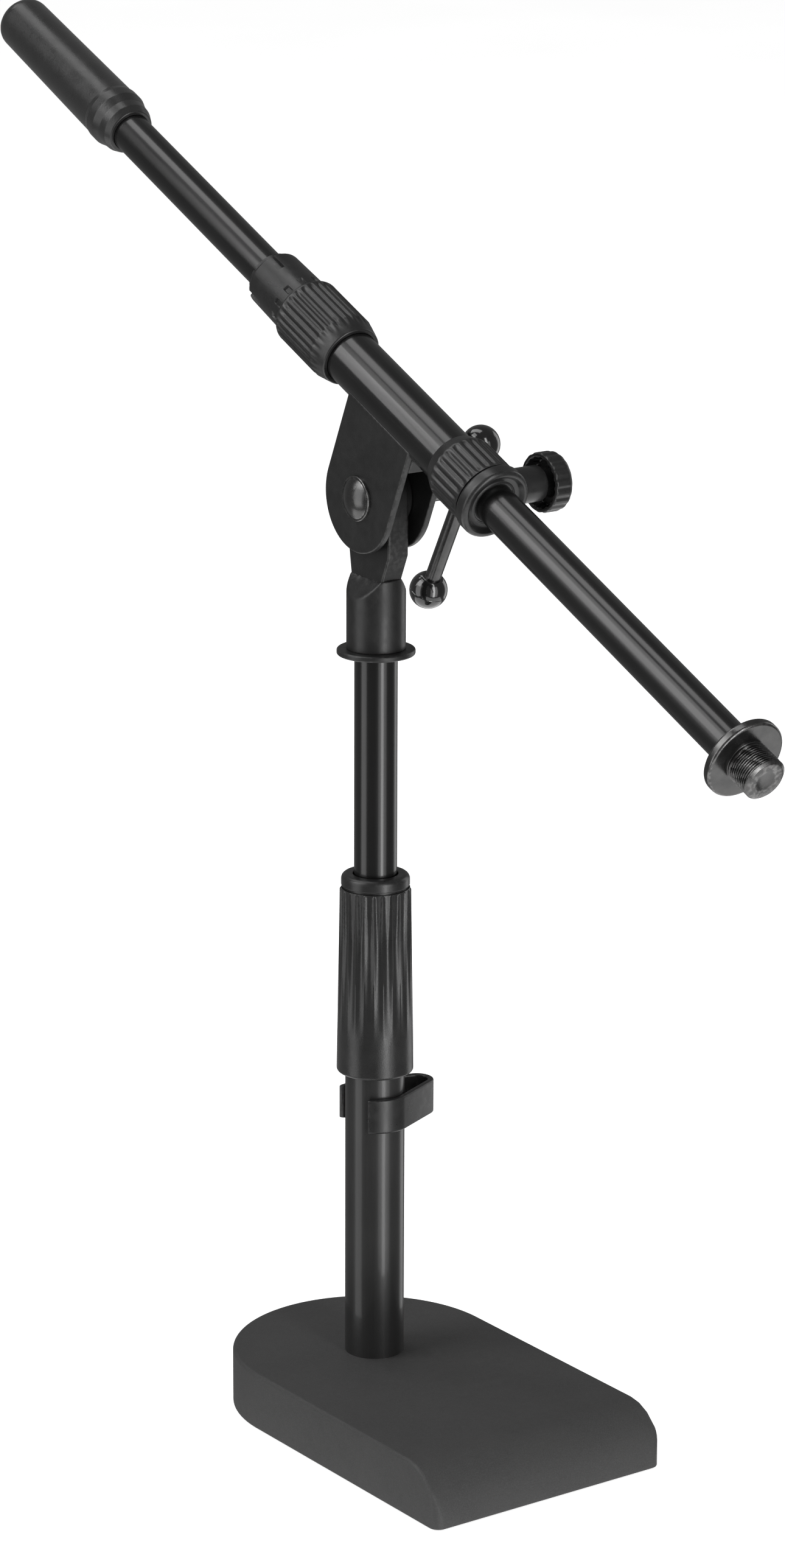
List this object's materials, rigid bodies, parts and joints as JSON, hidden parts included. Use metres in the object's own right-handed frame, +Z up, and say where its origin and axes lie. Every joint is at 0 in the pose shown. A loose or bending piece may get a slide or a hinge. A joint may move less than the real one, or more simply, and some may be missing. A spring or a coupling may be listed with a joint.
{
  "type": "boom microphone stand",
  "caption": "Short boom microphone stand: weighted flat base, telescoping mast with twist clutch, tilting head and sliding boom with a counterweight grip and threaded microphone end.",
  "frame": {"origin": "mast axis at the floor, on the underside of the base pad", "axes": "+Z up along the mast; -Y to the front, where the boom's threaded end points; +X to the side of the T-handle"},
  "size_m": [0.1024, 0.4691, 0.5066],
  "materials": {
    "powder_coat_base": "matt fine-textured black powder coat on cast iron",
    "gloss_tube": "semi-gloss black powder coat",
    "satin_black": "satin black coat",
    "black_zinc": "black oxide steel",
    "grip_rubber": "soft matt rubber",
    "nylon_black": "moulded black nylon, fine satin grain",
    "gloss_ball": "polished black phenolic",
    "pad_rubber": "non-slip rubber sheet",
    "zinc_steel": "bright zinc plate",
    "acetal": "natural acetal, inner bearings"
  },
  "bodies": {
    "stand": {"base_casting": "powder_coat_base", "base_pad": "pad_rubber", "base_bolt": "zinc_steel", "base_washer": "zinc_steel", "foot_plug": "zinc_steel", "lower_tube": "gloss_tube", "clutch_ferrule": "black_zinc"},
    "mast_clutch": {"clutch_nut": "nylon_black", "clutch_grip": "grip_rubber", "clutch_ring": "nylon_black"},
    "clip": {"cable_clip": "nylon_black"},
    "collet": {"clutch_collet": "acetal"},
    "mast": {"upper_tube": "gloss_tube", "tube_bush": "acetal", "mast_fitting": "satin_black", "swivel_socket": "satin_black", "pivot_bush": "acetal", "friction_discs": "nylon_black"},
    "head": {"boom_bracket": "satin_black", "boom_sleeve": "gloss_tube", "pivot_bolt": "black_zinc", "handle_washer": "black_zinc", "front_collar": "nylon_black", "collar_bush": "acetal", "rear_collar": "nylon_black"},
    "handle": {"handle_hub": "black_zinc"},
    "handle_bar": {"t_bar": "black_zinc", "t_bar_balls": "gloss_ball"},
    "clamp": {"clamp_knob": "nylon_black", "clamp_screw": "zinc_steel"},
    "boom_nut": {"boom_clutch_nut": "nylon_black"},
    "boom_jaw": {"boom_collet": "nylon_black"},
    "boom": {"boom_rod": "gloss_tube", "boom_end_fitting": "black_zinc", "rod_rear_plug": "nylon_black", "counterweight": "zinc_steel", "counterweight_sleeve": "grip_rubber"}
  },
  "joints": [
    {"name": "mast_clutch_turn", "type": "hinge", "parent": "stand", "child": "mast_clutch", "pos_m": [0, 0, 0.17], "axis": [0, 0, 1], "range_deg": [0, 180]},
    {"name": "clip_slide", "type": "slide", "parent": "stand", "child": "clip", "axis": [0, 0, 1], "range_m": [-0.088, 0.0075]},
    {"name": "mast_turn", "type": "hinge", "parent": "stand", "child": "collet", "pos_m": [0, 0, 0.197], "axis": [0, 0, 1], "continuous": true},
    {"name": "mast_height", "type": "slide", "parent": "collet", "child": "mast", "axis": [0, 0, 1], "range_m": [-0.075, 0.045]},
    {"name": "boom_tilt", "type": "hinge", "parent": "mast", "child": "head", "pos_m": [0, -0.00133, 0.35237], "axis": [1, 0, 0], "range_deg": [-98, 51]},
    {"name": "handle_turn", "type": "hinge", "parent": "head", "child": "handle", "pos_m": [0, -0.00133, 0.35237], "axis": [1, 0, 0], "range_deg": [0, 180]},
    {"name": "handle_bar_slide", "type": "slide", "parent": "handle", "child": "handle_bar", "axis": [0, -0.4664, 0.8846], "range_m": [0, 0.0335]},
    {"name": "clamp_knob_turn", "type": "hinge", "parent": "head", "child": "clamp", "pos_m": [0, -0.06416, 0.36511], "axis": [1, 0, 0], "range_deg": [0, 180]},
    {"name": "boom_clutch_turn", "type": "hinge", "parent": "head", "child": "boom_nut", "pos_m": [0, 0.03116, 0.4067], "axis": [0, 0.9166, 0.3999], "range_deg": [0, 180]},
    {"name": "boom_roll", "type": "hinge", "parent": "head", "child": "boom_jaw", "pos_m": [0, 0.05958, 0.41909], "axis": [0, 0.9166, 0.3999], "continuous": true},
    {"name": "boom_slide", "type": "slide", "parent": "boom_jaw", "child": "boom", "axis": [0, 0.9166, 0.3999], "range_m": [-0.098, 0.146]}
  ]
}
